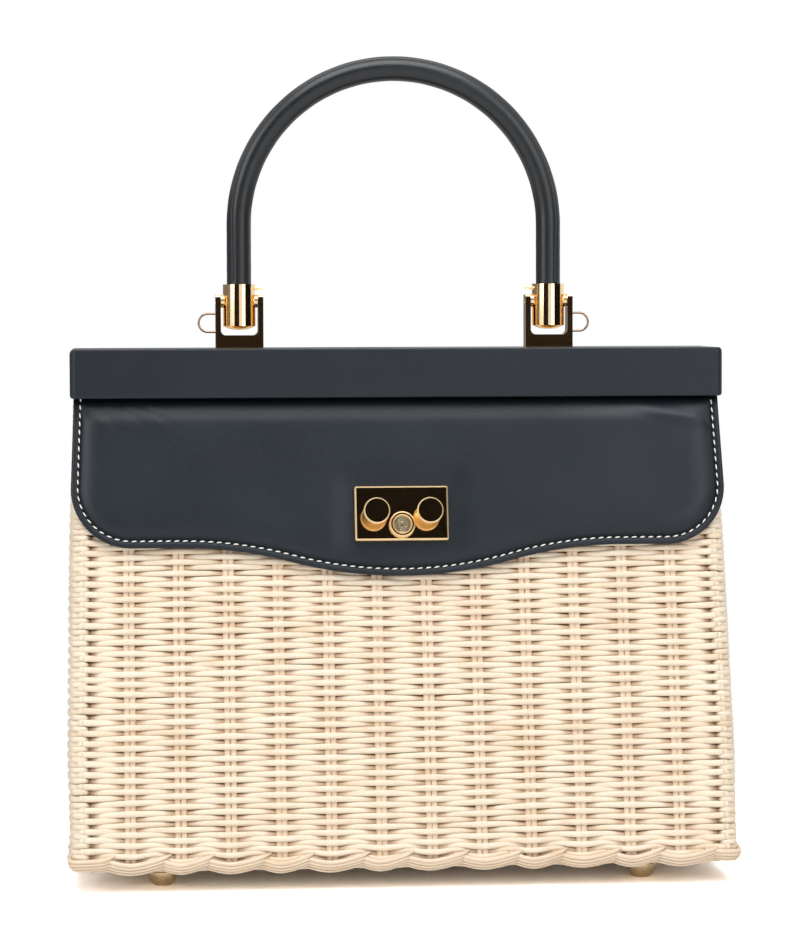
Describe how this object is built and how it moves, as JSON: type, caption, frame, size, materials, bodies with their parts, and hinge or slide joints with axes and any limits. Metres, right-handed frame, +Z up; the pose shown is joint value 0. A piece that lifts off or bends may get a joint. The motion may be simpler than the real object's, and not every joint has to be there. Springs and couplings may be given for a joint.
{
  "type": "wicker handbag",
  "caption": "Woven wicker handbag with a hinged leather top bar, padded flap, two-knob clasp with key lock, and a folding arched handle.",
  "frame": {"origin": "centre of the bag's footprint at floor level, under the feet", "axes": "+Z up, +X to the right seen from the front, -Y out of the front, where the flap and clasp are"},
  "size_m": [0.33, 0.1484, 0.4115],
  "materials": {
    "wicker": "natural rattan reed, clear matt lacquer",
    "navy_leather": "smooth calf leather, near-black navy, low sheen",
    "handle_leather": "rolled smooth leather with one sewn seam",
    "gold": "polished pale gold plating",
    "steel": "plain nickel-plated steel",
    "canvas": "grey-brown canvas lining",
    "board": "stiffening board",
    "tray_wood": "plain poplar",
    "foam": "soft padding"
  },
  "bodies": {
    "basket": {"woven_basket": "wicker", "lining": "canvas", "rim_binding": "navy_leather", "base_board": "board", "foot_front_left": "gold", "foot_rear_left": "gold", "foot_front_right": "gold", "foot_rear_right": "gold", "foot_screws": "steel", "catch_plate": "steel", "catch_rivets": "steel", "rear_band": "navy_leather", "basket_hinge_leaf": "steel", "hinge_rivets": "steel", "hinge_pin": "steel"},
    "lid": {"top_bar": "tray_wood", "top_bar_leather": "navy_leather", "flap_leather": "navy_leather", "flap_padding": "foam", "flap_lining": "canvas", "lid_hinge_leaf": "steel", "hinge_screws": "steel", "clasp_plate": "gold", "lock_case": "steel", "clasp_screws": "steel", "lock_collar": "gold", "handle_fork_left": "gold", "handle_fork_right": "gold", "fork_screws": "steel", "strap_loop_left": "gold", "strap_loop_right": "gold", "pivot_pin_left": "gold", "pivot_pin_right": "gold", "latch_spring_left": "steel", "latch_spring_right": "steel"},
    "handle": {"handle_grip": "handle_leather", "ferrule_left": "gold", "ferrule_right": "gold", "stop_pin_left": "gold", "stop_pin_right": "gold"},
    "latch_left": {"knob_left": "gold", "latch_slider_left": "steel"},
    "latch_right": {"knob_right": "gold", "latch_slider_right": "steel"},
    "lock": {"lock_plug": "gold", "lock_cam": "steel"}
  },
  "joints": [
    {"name": "lid_hinge", "type": "hinge", "parent": "basket", "child": "lid", "pos_m": [0, 0.0262, 0.237], "axis": [-1, 0, 0], "range_deg": [0, 95]},
    {"name": "handle_swing", "type": "hinge", "parent": "lid", "child": "handle", "pos_m": [0, 0, 0.2882], "axis": [1, 0, 0], "range_deg": [-90, 90]},
    {"name": "knob_left_slide", "type": "slide", "parent": "lid", "child": "latch_left", "axis": [1, 0, 0], "range_m": [0, 0.0025], "stiffness_N_per_m": 900, "deforming": ["latch_spring_left"]},
    {"name": "knob_right_slide", "type": "slide", "parent": "lid", "child": "latch_right", "axis": [-1, 0, 0], "range_m": [0, 0.0025], "stiffness_N_per_m": 900, "deforming": ["latch_spring_right"]},
    {"name": "lock_turn", "type": "hinge", "parent": "lid", "child": "lock", "pos_m": [0, -0.04067, 0.17657], "axis": [0, -0.9723, 0.2336], "range_deg": [0, 90]}
  ]
}
